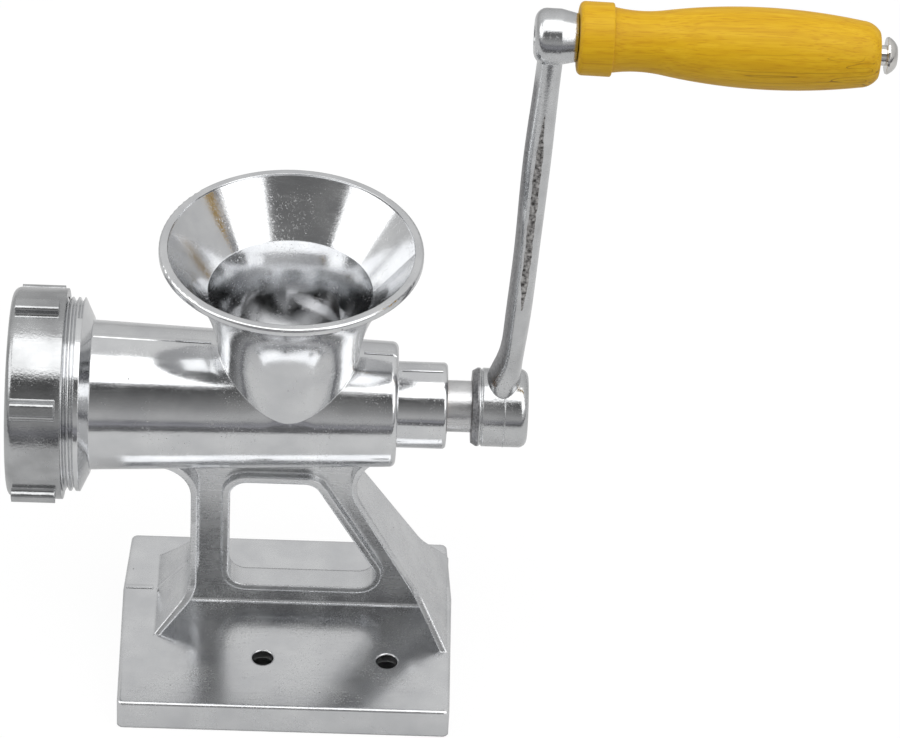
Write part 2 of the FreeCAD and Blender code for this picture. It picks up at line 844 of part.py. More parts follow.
nut_space = turned(
    "nut_space",
    [
        (PLATE_FRONT + " + 0.3", "thread_crest_r - 2 * thread_depth"),
        (NUT_BACK, "thread_crest_r - 2 * thread_depth"),
        (NUT_BACK, "nut_r - 0.4"),
        (PLATE_FRONT + " + 0.3", "nut_r - 0.4"),
    ],
)
place(nut_space, "0", "0", "axis_height")
nut_thread = common("nut_thread", [nut_ridge, nut_space])
nut_shell = fuse("nut_shell", [nut_ring] + nut_lugs)
ring_nut = fuse("ring_nut", [nut_shell, nut_thread], False)

# Hole plate with three rings of holes, a hub hole and a key slot
hole_plate = doc.addObject("PartDesign::Body", "hole_plate")
planes = {feature.Role: feature for feature in hole_plate.Origin.OriginFeatures}


def plate_sketch(name):
    sketch = hole_plate.newObject("Sketcher::SketchObject", name)
    sketch.AttachmentSupport = [(planes["YZ_Plane"], "")]
    sketch.MapMode = "FlatFace"
    return sketch


def ring(sketch, radius, up="0"):
    centre = FreeCAD.Vector(0, number(up), 0)
    normal = FreeCAD.Vector(0, 0, 1)
    circle = sketch.addGeometry(Part.Circle(centre, normal, number(radius)))
    held = sketch.addConstraint(Sketcher.Constraint("Radius", circle, number(radius)))
    bind(sketch, "Constraints[%d]" % held, radius)
    if up == "0":
        sketch.addConstraint(Sketcher.Constraint("Coincident", circle, 3, -1, 1))
        return
    sketch.addConstraint(Sketcher.Constraint("DistanceX", circle, 3, 0.0))
    held = sketch.addConstraint(Sketcher.Constraint("DistanceY", circle, 3, number(up)))
    bind(sketch, "Constraints[%d]" % held, up)


def through(name, sketch):
    pocket = hole_plate.newObject("PartDesign::Pocket", name)
    pocket.Profile = sketch
    pocket.Type = "ThroughAll"
    pocket.Midplane = True
    return pocket


disc_sketch = plate_sketch("plate_disc_sketch")
ring(disc_sketch, "plate_r")
ring(disc_sketch, "spigot_r + running_gap")
disc = hole_plate.newObject("PartDesign::Pad", "plate_disc")
disc.Profile = disc_sketch
bind(disc, "Length", "plate_thick")
slot_sketch = plate_sketch("plate_slot_sketch")
draw(
    slot_sketch,
    [
        ("-key_r - key_gap", "key_ring_r - key_r - key_gap"),
        ("key_r + key_gap", "key_ring_r - key_r - key_gap"),
        ("key_r + key_gap", "plate_r + 2"),
        ("-key_r - key_gap", "plate_r + 2"),
    ],
)
through("plate_slot", slot_sketch)
doc.recompute()
for count, radius in ((6, "plate_ring_one"), (12, "plate_ring_two"), (18, "plate_ring_three")):
    hole_sketch = plate_sketch("plate_hole_sketch_%d" % count)
    ring(hole_sketch, "plate_hole_r", radius)
    hole = through("plate_hole_%d" % count, hole_sketch)
    doc.recompute()
    pattern = hole_plate.newObject("PartDesign::PolarPattern", "plate_ring_%d" % count)
    pattern.Originals = [hole]
    pattern.Axis = (hole_sketch, ["N_Axis"])
    pattern.Angle = 360
    pattern.Occurrences = count
    hole_plate.Tip = pattern
    doc.recompute()
place(hole_plate, PLATE_FRONT, "0", "axis_height")

# Cross knife with four blades
knife_hub = cylinder("knife_hub", "knife_hub_r", "knife_thick", KNIFE_FRONT, "0", "axis_height")
blade_long = box(
    "blade_upright",
    "knife_thick",
    "knife_arm",
    "2 * knife_r",
    KNIFE_FRONT,
    "-knife_arm / 2",
    "axis_height - knife_r",
)
blade_wide = box(
    "blade_level",
    "knife_thick",
    "2 * knife_r",
    "knife_arm",
    KNIFE_FRONT,
    "-knife_r",
    "axis_height - knife_arm / 2",
)
knife_sweep = cylinder("knife_sweep", "knife_r", "knife_thick", KNIFE_FRONT, "0", "axis_height")
knife_square = box(
    "knife_square_hole",
    "knife_thick + 2",
    "knife_square + 2 * knife_gap",
    "knife_square + 2 * knife_gap",
    KNIFE_FRONT + " - 1",
    "-knife_square / 2 - knife_gap",
    "axis_height - knife_square / 2 - knife_gap",
)
knife_cross = fuse("knife_cross", [knife_hub, blade_long, blade_wide])
knife_round = common("knife_round", [knife_cross, knife_sweep])
cross_knife = cut("cross_knife", knife_round, knife_square)

# Stud that carries the knife and centres the plate
stud_root = cylinder("stud_root", "spigot_r", "stud_length", AUGER_FRONT, "0", "axis_height")
stud_square = box(
    "stud_square",
    "knife_thick",
    "knife_square",
    "knife_square",
    KNIFE_FRONT,
    "-knife_square / 2",
    "axis_height - knife_square / 2",
)
stud_spigot = cylinder(
    "stud_spigot",
    "spigot_r",
    "plate_thick + spigot_proud + face_gap",
    PLATE_FRONT + " - spigot_proud",
    "0",
    "axis_height",
)
knife_stud = fuse("knife_stud", [stud_root, stud_square, stud_spigot])

# Auger: core, flight, thrust collar, shaft and square drive
flight_ridge = screw_ridge(
    "flight_ridge",
    "core_front_r - 3",
    "barrel_front_r",
    "flight_thick",
    "flight_thick",
    "flight_pitch",
    AUGER_FRONT + " - flight_pitch / 4",
    COLLAR_FRONT + " - " + AUGER_FRONT + " + flight_pitch / 4",
    "core_rear_r",
)
flight_space = turned(
    "flight_space",
    [
        (AUGER_FRONT, "0"),
        (COLLAR_BACK, "0"),
        (COLLAR_BACK, BORE_REAR_R + " - flight_gap"),
        (AUGER_FRONT, BORE_FRONT_R + " - flight_gap"),
    ],
)
place(flight_space, "0", "0", "axis_height")
flight = common("flight", [flight_ridge, flight_space])
auger_core = turned(
    "auger_core",
    [
        (AUGER_FRONT, "0"),
        (CRANK_X, "0"),
        (CRANK_X, "shaft_r"),
        (COLLAR_BACK, "shaft_r"),
        (COLLAR_BACK, "collar_r"),
        (COLLAR_FRONT, "collar_r"),
        (COLLAR_FRONT, "core_rear_r"),
        (AUGER_FRONT, "core_front_r"),
    ],
)
place(auger_core, "0", "0", "axis_height")
drive = box(
    "drive",
    SHAFT_END + " - " + CRANK_X + " + 1",
    "drive_square",
    "drive_square",
    CRANK_X + " - 1",
    "-drive_square / 2",
    "axis_height - drive_square / 2",
)
stud_seat = cylinder(
    "stud_seat", "spigot_r + face_gap", "stud_length + 2", AUGER_FRONT + " - 1", "0", "axis_height"
)
screw_seat = cylinder(
    "screw_seat",
    "screw_r + face_gap",
    "screw_length + 2",
    RECESS_X + " + crank_washer_thick - screw_length - 0.5",
    "0",
    "axis_height",
)
auger_solid = fuse("auger_solid", [auger_core, flight, drive], False)
auger_seats = fuse("auger_seats", [stud_seat, screw_seat])
auger = cut("auger", auger_solid, auger_seats)

# Crank arm: boss, oval arm and eye in one casting
crank_boss = turned(
    "crank_boss",
    [
        (CRANK_X, "0"),
        (CRANK_END, "0"),
        (CRANK_END, "crank_boss_r", "round", "crank_boss_round"),
        (CRANK_X + " + crank_ring + 2 * crank_groove", "crank_boss_r"),
        (CRANK_X + " + crank_ring + crank_groove", "crank_boss_r - crank_groove"),
        (CRANK_X + " + crank_ring", "crank_boss_r"),
        (CRANK_X + " + crank_boss_chamfer", "crank_boss_r"),
        (CRANK_X, "crank_boss_r - 0.6 * crank_boss_chamfer"),
    ],
)
place(crank_boss, "0", "0", "axis_height")


def arm_section(name, x, z, width, depth):
    oval = doc.addObject("Part::Ellipse", name)
    bind(oval, "MajorRadius", depth + " / 2")
    bind(oval, "MinorRadius", width + " / 2")
    oval.Placement.Rotation = FreeCAD.Rotation(FreeCAD.Vector(0, 0, 1), 90)
    return place(oval, x, "0", z)


arm = doc.addObject("Part::Loft", "arm")
arm.Sections = [
    arm_section(
        "arm_foot",
        "arm_low_x - 0.9",
        "axis_height + 0.6 * crank_boss_r",
        "arm_foot_width",
        "arm_low_depth * 0.95",
    ),
    arm_section(
        "arm_knee",
        "arm_low_x - 0.25",
        "axis_height + 1.25 * crank_boss_r",
        "arm_knee_width",
        "arm_low_depth",
    ),
    arm_section(
        "arm_low",
        "arm_low_x + 0.9",
        "axis_height + 1.75 * crank_boss_r",
        "arm_width",
        "arm_low_depth",
    ),
    arm_section(
        "arm_shin",
        "arm_low_x + 2.1",
        "axis_height + 2.9 * crank_boss_r",
        "arm_width",
        "arm_low_depth",
    ),
    arm_section(
        "arm_lift",
        "arm_mid_x - 0.8",
        "axis_height + 0.4 * crank_throw",
        "arm_width",
        "arm_low_depth",
    ),
    arm_section(
        "arm_mid",
        "arm_mid_x",
        "axis_height + 0.55 * crank_throw",
        "arm_mid_width",
        "(arm_low_depth + arm_top_depth) / 2",
    ),
    arm_section(
        "arm_high",
        "(arm_mid_x + arm_top_x) / 2",
        "axis_height + 0.78 * crank_throw",
        "arm_mid_width",
        "arm_top_depth",
    ),
    arm_section("arm_head", "arm_top_x", EYE_Z + " - 0.5 * eye_r", "arm_width", "arm_top_depth"),
]
arm.Solid = True
arm.MaxDegree = 3
arm.Ruled = False
EYE_END = "(eye_x + eye_length + eye_nose)"
GRIP_X = "(eye_x + eye_length + eye_nose + grip_end_gap)"
GRIP_END = "(eye_x + eye_length + eye_nose + grip_end_gap + grip_length)"
HEAD_X = "(eye_x + eye_length + eye_nose + grip_end_gap + grip_length + grip_head_gap)"


def along_handle(thing):
    """Sets a piece drawn from the eye's left face on the handle's drooping axis."""
    bind(thing, "Placement.Base.x", "eye_x")
    bind(thing, "Placement.Base.z", EYE_Z)
    thing.Placement.Rotation = FreeCAD.Rotation(FreeCAD.Vector(0, 1, 0), 1)
    bind(thing, "Placement.Rotation.Angle", "handle_droop")
    return thing


crank_eye = turned(
    "crank_eye",
    [
        ("0", "0"),
        ("eye_length + eye_nose", "0"),
        ("eye_length + eye_nose", "eye_nose_r"),
        ("eye_length", "eye_r"),
        ("0", "eye_r", "round", "eye_round"),
    ],
)
along_handle(crank_eye)
eye_hole = turned(
    "eye_hole",
    [
        ("-2", "0"),
        ("eye_length + eye_nose + 2", "0"),
        ("eye_length + eye_nose + 2", "pin_r + 0.02"),
        ("-2", "pin_r + 0.02"),
    ],
)
along_handle(eye_hole)
drive_hole = box(
    "drive_hole",
    "crank_boss_length",
    "drive_square + 2 * drive_gap",
    "drive_square + 2 * drive_gap",
    CRANK_X + " - 1",
    "-drive_square / 2 - drive_gap",
    "axis_height - drive_square / 2 - drive_gap",
)
screw_recess = cylinder(
    "screw_recess", "crank_recess_r", "crank_recess_depth + 1", RECESS_X, "0", "axis_height"
)
crank_solid = fuse("crank_solid", [crank_boss, arm, crank_eye])
crank_holes = fuse("crank_holes", [eye_hole, drive_hole, screw_recess])
crank_arm = cut("crank_arm", crank_solid, crank_holes)

# Washer and screw that hold the crank on the square drive
crank_washer = turned(
    "crank_washer",
    [
        (RECESS_X, "screw_r + face_gap"),
        (RECESS_X + " + crank_washer_thick", "screw_r + face_gap"),
        (RECESS_X + " + crank_washer_thick", "crank_washer_r"),
        (RECESS_X, "crank_washer_r"),
    ],
)
place(crank_washer, "0", "0", "axis_height")
screw_turned = turned(
    "screw_turned",
    [
        (RECESS_X + " + crank_washer_thick - screw_length", "0"),
        (RECESS_X + " + crank_washer_thick + screw_head", "0"),
        (RECESS_X + " + crank_washer_thick + screw_head", "screw_head_r", "round", "screw_slot_depth"),
        (RECESS_X + " + crank_washer_thick", "screw_head_r"),
        (RECESS_X + " + crank_washer_thick", "screw_r"),
        (RECESS_X + " + crank_washer_thick - screw_length", "screw_r"),
    ],
)
place(screw_turned, "0", "0", "axis_height")
screw_slot = box(
    "screw_slot_cut",
    "screw_slot_depth + 1",
    "screw_slot",
    "2 * screw_head_r + 2",
    RECESS_X + " + crank_washer_thick + screw_head - screw_slot_depth",
    "-screw_slot / 2",
    "axis_height - screw_head_r - 1",
)
crank_screw = cut("crank_screw", screw_turned, screw_slot)

# Handle pin riveted through the eye, and the wooden grip that turns on it
handle_pin = turned(
    "handle_pin",
    [
        ("0.4", "0"),
        (HEAD_X + " - eye_x + pin_head", "0"),
        (HEAD_X + " - eye_x + pin_head", "0.55 * pin_head_r", "arc", "0.95 * pin_head_r", -1),
        (HEAD_X + " - eye_x + 0.2 * pin_head", "pin_head_r"),
        (HEAD_X + " - eye_x", "pin_head_r - 0.2"),
        (HEAD_X + " - eye_x", "pin_r"),
        ("0.4", "pin_r"),
    ],
)
along_handle(handle_pin)
handle_grip = turned(
    "handle_grip",
    [
        (GRIP_X + " - eye_x", "pin_r + pin_gap"),
        (GRIP_END + " - eye_x", "pin_r + pin_gap"),
        (GRIP_END + " - eye_x", "grip_end_r", "arc", "grip_tail_curve", -1),
        (GRIP_END + " - eye_x - grip_tail", "grip_tail_r", "arc", "grip_belly_curve", -1),
        (GRIP_X + " - eye_x + grip_neck_at", "grip_neck_r", "arc", "grip_neck_curve", 1),
        (GRIP_X + " - eye_x + grip_collar", "grip_neck_in"),
        (GRIP_X + " - eye_x + grip_collar", "grip_collar_r", "round", "0.5"),
        (GRIP_X + " - eye_x", "grip_collar_r", "round", "grip_collar_round"),
    ],
)
along_handle(handle_grip)

PIECES = [
    body_casting,
    rear_bush,
    thrust_washer,
    plate_key_pin,
    ring_nut,
    hole_plate,
    cross_knife,
    knife_stud,
    auger,
    crank_arm,
    crank_washer,
    crank_screw,
    handle_pin,
    handle_grip,
]
doc.recompute()

for thing in doc.Objects:
    if "Invalid" in thing.State or "Error" in thing.State:
        raise RuntimeError("%s did not build: %s" % (thing.Name, thing.State))
os.makedirs("parts", exist_ok=True)
for piece in PIECES:
    shape = piece.Shape
    if shape.isNull() or not shape.isValid() or len(shape.Solids) != 1:
        raise RuntimeError("%s is not one sound solid: %d" % (piece.Label, len(shape.Solids)))
    shape.exportStep("parts/%s.step" % piece.Label)
    print(piece.Label, round(shape.Volume), [round(v, 2) for v in (
        shape.BoundBox.XMin, shape.BoundBox.XMax, shape.BoundBox.YMin,
        shape.BoundBox.YMax, shape.BoundBox.ZMin, shape.BoundBox.ZMax)])
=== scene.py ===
# %% [markdown]
# # A hand crank meat grinder in polished cast aluminium
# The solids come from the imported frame, in metres, and already have their true places.
# This lesson dresses them: it gives each metal its finish, paints the wood, adds the fine lines
# that a casting keeps from its mould, and sets a plain studio round it.

# %% Load the frame
import math

import bpy
from mathutils import Matrix, Vector


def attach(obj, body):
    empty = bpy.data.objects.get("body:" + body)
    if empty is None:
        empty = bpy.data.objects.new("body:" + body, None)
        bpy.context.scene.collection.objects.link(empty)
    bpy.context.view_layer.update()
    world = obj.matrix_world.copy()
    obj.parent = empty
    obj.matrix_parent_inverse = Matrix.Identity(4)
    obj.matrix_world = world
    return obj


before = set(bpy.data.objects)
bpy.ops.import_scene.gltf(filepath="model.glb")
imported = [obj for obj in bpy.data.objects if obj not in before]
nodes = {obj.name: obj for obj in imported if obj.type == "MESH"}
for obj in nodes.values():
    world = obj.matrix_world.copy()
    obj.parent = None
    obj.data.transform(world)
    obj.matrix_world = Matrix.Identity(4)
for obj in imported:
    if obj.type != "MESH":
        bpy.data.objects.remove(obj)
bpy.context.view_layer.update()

MM = 0.001
print("nodes:", sorted(nodes))

# %% [markdown]
# ## Colours and nodes
# Colours are given as sRGB hex values, but a shader works in linear light.
# One function does the change, and one more adds a node with its settings and links,
# so that each material below reads as a list of what its surface is made of.

# %% Helpers for every material
def linear(hex_code):
    shades = [int(hex_code[k:k + 2], 16) / 255 for k in (1, 3, 5)]
    return [s / 12.92 if s <= 0.04045 else ((s + 0.055) / 1.055) ** 2.4 for s in shades] + [1.0]


def add_node(tree, kind, inputs=(), **settings):
    node = tree.nodes.new(kind)
    for name, value in settings.items():
        setattr(node, name, value)
    for socket, value in dict(inputs).items():
        if isinstance(value, bpy.types.NodeSocket):
            tree.links.new(value, node.inputs[socket])
        else:
            node.inputs[socket].default_value = value
    return node


def new_material(name, **shader_inputs):
    material = bpy.data.materials.new(name)
    material.use_nodes = True
    shader = material.node_tree.nodes["Principled BSDF"]
    for socket, value in shader_inputs.items():
        shader.inputs[socket.replace("_", " ")].default_value = value
    return material, material.node_tree, shader


def per_mm(size):
    """The scale of a pattern whose features are this many millimetres wide."""
    return 1 / (size * MM)


def set_ramp(ramp, *stops):
    elements = ramp.color_ramp.elements
    while len(elements) < len(stops):
        elements.new(0.5)
    for element, (position, colour) in zip(elements, stops):
        element.position = position
        element.color = colour


# Sockets of a colour Mix node: factor, first colour, second colour, and the result
MIX_FACTOR = 0
MIX_FIRST = 6
MIX_SECOND = 7
MIX_RESULT = 2


def noise(tree, where, size, detail=2.0):
    """A noise whose features are this many millimetres wide, all round or along X, Y and Z."""
    sizes = size if isinstance(size, tuple) else (size, size, size)
    scale = [per_mm(s) for s in sizes]
    laid = add_node(tree, "ShaderNodeMapping", {"Vector": where, "Scale": scale}).outputs[0]
    inputs = {"Vector": laid, "Scale": 1.0, "Detail": detail}
    return add_node(tree, "ShaderNodeTexNoise", inputs).outputs["Fac"]


def calculate(tree, operation, *values):
    return add_node(tree, "ShaderNodeMath", dict(enumerate(values)), operation=operation).outputs[0]


def spread(tree, value, low, high, start, end):
    """Turns values from low to high into values from start to end."""
    return add_node(tree, "ShaderNodeMapRange", {0: value, 1: low, 2: high, 3: start, 4: end}).outputs[0]


def colour_ramp(tree, value, *stops):
    ramp = add_node(tree, "ShaderNodeValToRGB", {"Fac": value})
    set_ramp(ramp, *stops)
    return ramp.outputs["Color"]


def blend_colours(tree, share, first, second, kind="MIX"):
    inputs = {MIX_FACTOR: share, MIX_FIRST: first, MIX_SECOND: second}
    return add_node(tree, "ShaderNodeMix", inputs, data_type="RGBA", blend_type=kind).outputs[MIX_RESULT]


def relief(tree, height, depth, strength, normal=None, invert=False):
    inputs = {"Height": height, "Distance": depth * MM, "Strength": strength}
    if normal is not None:
        inputs["Normal"] = normal
    return add_node(tree, "ShaderNodeBump", inputs, invert=invert).outputs[0]


print("helpers ready")

# %% [markdown]
# ## Polished cast aluminium
# The body, the ring nut and the crank are gravity castings that were tumbled and then buffed.
# The eye sees a bright grey mirror with soft edges to its bands, a fine grain left by the mould,
# faint buffing lines, small dull specks, and some dark pits where gas sat in the melt.
# Noise at several sizes gives these. The Bevel node rounds the edges, as buffing does:
# more on the flanges and the base, less on the barrel, where the thread has to stay crisp.
# The thin seams and the rough strip go without it, because the node would round them away.
# Real mould grain and buffing lines are finer than the picture can show, so both are drawn
# about half a millimetre wide.

# %% Cast aluminium, buffed or left rougher
BARREL_LOW = 66 * MM
BARREL_HIGH = 72 * MM
FOOT_LOW = 10 * MM
FOOT_HIGH = 15 * MM
CRISP_EDGE = 0.5 * MM
FLANK_START = -0.8
FLANK_FULL = -0.92
EYE_LOW = 222 * MM
EYE_FADE = 6 * MM
SKIN_AND_SHADE_FADE_MM = 0.3
RAW_DULLNESS = 0.2
BUFFING_MM = (7.0, 0.45, 0.45)
PIT_SPACING_MM = 9.0
SPECK_MM = 0.6
WORN_MM = 12.0
SPECK_DULLNESS = 0.22


def cast_aluminium(
    name,
    light,
    shade,
    smooth,
    dull,
    grain_mm,
    grain_height,
    pit_size,
    foot_dull=0.0,
    stand_dull=0.0,
    low_edge=0.5,
    skin_and_shade_until=None,
    patch_mm=11.0,
):
    material, tree, shader = new_material(name, Metallic=1.0)
    where = add_node(tree, "ShaderNodeTexCoord").outputs["Object"]
    place = add_node(tree, "ShaderNodeSeparateXYZ", {0: where}).outputs
    patches = noise(tree, where, patch_mm, 5.0)
    grain = noise(tree, where, grain_mm)
    buffing = noise(tree, where, BUFFING_MM)

    # Cloudy grey, darkened in the pits
    tint = colour_ramp(tree, patches, (0.35, linear(shade)), (0.65, linear(light)))
    cells = add_node(tree, "ShaderNodeTexVoronoi", {"Vector": where, "Scale": per_mm(PIT_SPACING_MM)})
    pits = spread(tree, cells.outputs["Distance"], 0.4 * pit_size, pit_size, 1.0, 0.0)
    colour = blend_colours(tree, pits, tint, linear("#5A5754"))

    # Gloss: duller in the cloudy patches, along the buffing lines, in specks, and below the barrel
    specks = spread(tree, noise(tree, where, SPECK_MM), 0.56, 0.7, 0.0, 1.0)
    worn = spread(tree, noise(tree, where, WORN_MM), 0.42, 0.6, 0.1, 1.0)
    marks = calculate(tree, "MULTIPLY", specks, worn)
    cloudy = calculate(tree, "ADD", patches, buffing)
    gloss = spread(tree, cloudy, 0.75, 1.25, smooth, dull)
    foot = spread(tree, place["Z"], FOOT_LOW, FOOT_HIGH, foot_dull, stand_dull)
    stand = spread(tree, place["Z"], BARREL_LOW, BARREL_HIGH, 1.0, 0.0)
    gloss = calculate(tree, "MULTIPLY_ADD", foot, stand, gloss)
    gloss = calculate(tree, "MULTIPLY_ADD", marks, SPECK_DULLNESS, gloss)

    # Unbuffed skin, duller and a darker grey that also paints shade: left of a plane across X, where the
    # boss steps down into shadow, and the arm's left flank, picked by the way it faces
    if skin_and_shade_until is not None:
        ring = spread(tree, place["X"], (skin_and_shade_until - SKIN_AND_SHADE_FADE_MM) * MM, skin_and_shade_until * MM, 1.0, 0.0)
        facing = add_node(tree, "ShaderNodeNewGeometry").outputs["Normal"]
        leftward = add_node(tree, "ShaderNodeSeparateXYZ", {0: facing}).outputs["X"]
        flank = spread(tree, leftward, FLANK_START, FLANK_FULL, 0.0, 1.0)
        below_eye = spread(tree, place["Z"], EYE_LOW - EYE_FADE, EYE_LOW, 1.0, 0.0)
        flank = calculate(tree, "MULTIPLY", flank, below_eye)
        raw_and_shaded = calculate(tree, "MAXIMUM", ring, flank)
        # painted shade: this darker grey stands for the rough skin and also for the shadow in the step
        # and on the flank
        skin_and_shade = colour_ramp(tree, grain, (0.3, linear("#747476")), (0.7, linear("#A6A6A8")))
        colour = blend_colours(tree, raw_and_shaded, colour, skin_and_shade)
        gloss = calculate(tree, "MULTIPLY_ADD", raw_and_shaded, RAW_DULLNESS, gloss)
    tree.links.new(colour, shader.inputs["Base Color"])
    tree.links.new(gloss, shader.inputs["Roughness"])

    # Relief: rounded edges, buffing lines, mould grain and pits
    rounded = None
    if low_edge is not None:
        edge = spread(tree, place["Z"], BARREL_LOW, BARREL_HIGH, low_edge * MM, CRISP_EDGE)
        rounded = add_node(tree, "ShaderNodeBevel", {"Radius": edge}, samples=8).outputs[0]
    lines = relief(tree, buffing, 0.02, 0.3, rounded)
    sand = relief(tree, grain, grain_height, 0.6, lines)
    holes = relief(tree, pits, 0.2, 0.7, sand, invert=True)
    tree.links.new(holes, shader.inputs["Normal"])
    return material


buffed_aluminium = cast_aluminium(
    "buffed cast aluminium", "#DCDDDE", "#CFD0D2", smooth=0.09, dull=0.18, grain_mm=0.8,
    grain_height=0.014, pit_size=0.03, foot_dull=0.06, stand_dull=0.14, low_edge=1.1,
)
nut_aluminium = cast_aluminium(
    "tumbled cast aluminium", "#BEBFC0", "#A6A7A8", smooth=0.14, dull=0.24, grain_mm=0.7,
    grain_height=0.07, pit_size=0.035,
)
arm_aluminium = cast_aluminium(
    "brushed cast aluminium", "#D2D3D4", "#BFC0C1", smooth=0.13, dull=0.26, grain_mm=0.7,
    grain_height=0.03, pit_size=0.04, skin_and_shade_until=57.6,
)
shaft_aluminium = cast_aluminium(
    "sand cast aluminium", "#E0E0E0", "#C8C8C9", smooth=0.26, dull=0.4, grain_mm=0.5,
    grain_height=0.07, pit_size=0.03,
)
trimmed_flash = cast_aluminium(
    "sheared casting flash", "#CFCDCB", "#4A4847", smooth=0.3, dull=0.55, grain_mm=0.6,
    grain_height=0.3, pit_size=0.12, low_edge=None, patch_mm=1.1,
)
seam_aluminium = cast_aluminium(
    "buffed casting seam", "#DCDDDE", "#CFD0D2", smooth=0.09, dull=0.18, grain_mm=0.8,
    grain_height=0.014, pit_size=0.03, low_edge=None,
)
print("castings:", [m.name for m in (buffed_aluminium, nut_aluminium, arm_aluminium, shaft_aluminium)])

# %% [markdown]
# ## Steel, bronze and plating
# The cutting plate, knife and fasteners are ground tool steel, which shows fine parallel scratches.
# The bush is sintered bronze with open pores, and the handle pin is nickel plated and almost a mirror.

# %% Ground steel, sintered bronze and bright plating
SCRATCH_LENGTH_MM = 12.0
CLOUD_MM = 6.0
GROUND_EDGE = 0.25 * MM


def turned_metal(name, colour, dark, smooth, dull, line_mm, depth):
    material, tree, shader = new_material(name, Metallic=1.0)
    where = add_node(tree, "ShaderNodeTexCoord").outputs["Object"]
    scratches = noise(tree, where, (line_mm, line_mm, SCRATCH_LENGTH_MM), 3.0)
    clouds = noise(tree, where, CLOUD_MM, 3.0)
    tint = colour_ramp(tree, clouds, (0.3, linear(dark)), (0.7, linear(colour)))
    tree.links.new(tint, shader.inputs["Base Color"])
    rough = spread(tree, scratches, 0.3, 0.7, smooth, dull)
    tree.links.new(rough, shader.inputs["Roughness"])
    rounded = add_node(tree, "ShaderNodeBevel", {"Radius": GROUND_EDGE}, samples=6).outputs[0]
    groove = relief(tree, scratches, depth, 0.5, rounded)
    tree.links.new(groove, shader.inputs["Normal"])
    return material


ground_steel = turned_metal(
    "ground tool steel", "#BDBDBE", "#9C9C9E", smooth=0.22, dull=0.38, line_mm=0.35, depth=0.03
)
sintered_bronze = turned_metal(
    "sintered bronze", "#B98B4E", "#8E6434", smooth=0.35, dull=0.5, line_mm=0.5, depth=0.05
)
bright_plating = turned_metal(
    "bright nickel plate", "#E2E0DC", "#CFCDC9", smooth=0.06, dull=0.14, line_mm=0.8, depth=0.01
)
print("metals:", ground_steel.name, sintered_bronze.name, bright_plating.name)

# %% [markdown]
# ## Lacquered wood
# The grip is a turned hardwood under a yellow stain and a thin satin lacquer.
# Its grain runs along the handle, so a noise is stretched along X, with fine pores lying in the grain.
# A few drying cracks run along the tail. A crack is where a noise that is stretched far along X
# crosses one level, and it is kept only on the lower front side of the turned shape.

# %% Yellow lacquered beech
GRIP_MIDDLE = (140 * MM, 0.0, 230.8 * MM)
CRACKS_START = -24 * MM
CRACKS_FULL = -8 * MM
FRONT_LEAN = 0.81
CRACK_LEVEL = 0.5
CRACK_SHADE = 0.7
GRAIN_MM = (30.0, 1.4, 1.4)
PORES_MM = (7.0, 0.4, 0.4)
SPLITS_MM = (140.0, 2.0, 2.0)


def lacquered_wood():
    material, tree, shader = new_material(
        "yellow lacquered beech", Roughness=0.5, IOR=1.45, Specular_IOR_Level=0.3
    )
    spot = add_node(tree, "ShaderNodeTexCoord").outputs["Object"]
    away = [-v for v in GRIP_MIDDLE]
    where = add_node(tree, "ShaderNodeMapping", {"Vector": spot, "Location": away}).outputs[0]
    bands = noise(tree, where, GRAIN_MM, 3.0)
    pores = noise(tree, where, PORES_MM)
    splits = noise(tree, where, SPLITS_MM, 0.0)

    # Stain, with the pores a little darker
    stain = colour_ramp(
        tree, bands, (0.25, linear("#C49409")), (0.5, linear("#CC9F0C")), (0.78, linear("#D6AC20"))
    )
    shade = colour_ramp(tree, pores, (0.3, linear("#EFE2C2")), (0.5, linear("#FFFFFF")))
    grained = blend_colours(tree, 1.0, stain, shade, "MULTIPLY")

    # Drying cracks on the lower front of the tail
    place = add_node(tree, "ShaderNodeSeparateXYZ", {0: where}).outputs
    tail = spread(tree, place["X"], CRACKS_START, CRACKS_FULL, 0.0, 1.0)
    down = calculate(tree, "MULTIPLY_ADD", place["Y"], FRONT_LEAN, place["Z"])
    side = spread(tree, down, -2 * MM, -6 * MM, 0.0, 1.0)
    off_level = calculate(tree, "SUBTRACT", splits, CRACK_LEVEL)
    near_level = calculate(tree, "ABSOLUTE", off_level)
    line = spread(tree, near_level, 0.003, 0.011, 1.0, 0.0)
    low_tail = calculate(tree, "MULTIPLY", tail, side)
    crack = calculate(tree, "MULTIPLY", line, low_tail)
    faint = calculate(tree, "MULTIPLY", crack, CRACK_SHADE)
    tree.links.new(blend_colours(tree, faint, grained, linear("#7A5310")), shader.inputs["Base Color"])

    # Relief of pores and cracks under the lacquer
    ripple = relief(tree, pores, 0.05, 0.4)
    tree.links.new(relief(tree, crack, 0.25, 0.7, ripple, invert=True), shader.inputs["Normal"])
    return material


yellow_wood = lacquered_wood()
print("wood:", yellow_wood.name)

# %% [markdown]
# ## Dress the solids
# A solid whose shape is right keeps its own mesh and only takes a finish.

# %% Give each piece its finish
FINISHES = {
    "body_casting": buffed_aluminium,
    "ring_nut": nut_aluminium,
    "auger": shaft_aluminium,
    "crank_arm": arm_aluminium,
    "handle_grip": yellow_wood,
    "handle_pin": bright_plating,
    "hole_plate": ground_steel,
    "cross_knife": ground_steel,
    "knife_stud": ground_steel,
    "plate_key_pin": ground_steel,
    "thrust_washer": ground_steel,
    "crank_washer": ground_steel,
    "crank_screw": ground_steel,
    "rear_bush": sintered_bronze,
}
for name, finish in FINISHES.items():
    slots = nodes[name].data.materials
    slots.clear()
    slots.append(finish)
print("dressed:", len(FINISHES))

# %% [markdown]
# ## Parting lines
# The casting's mould opens along the plane of the barrel's axis, so a fine step runs along the crest
# of the barrel and the rear boss, and across the base and foot. A narrow grid is laid above it, its rear
# rows are spread, a Shrinkwrap modifier drops it on the metal, and the middle rows are then lifted:
# the front of the step is steep, and its back fades into the metal. A low step catches the light
# of the box overhead, and a higher one shows the dark room in front.

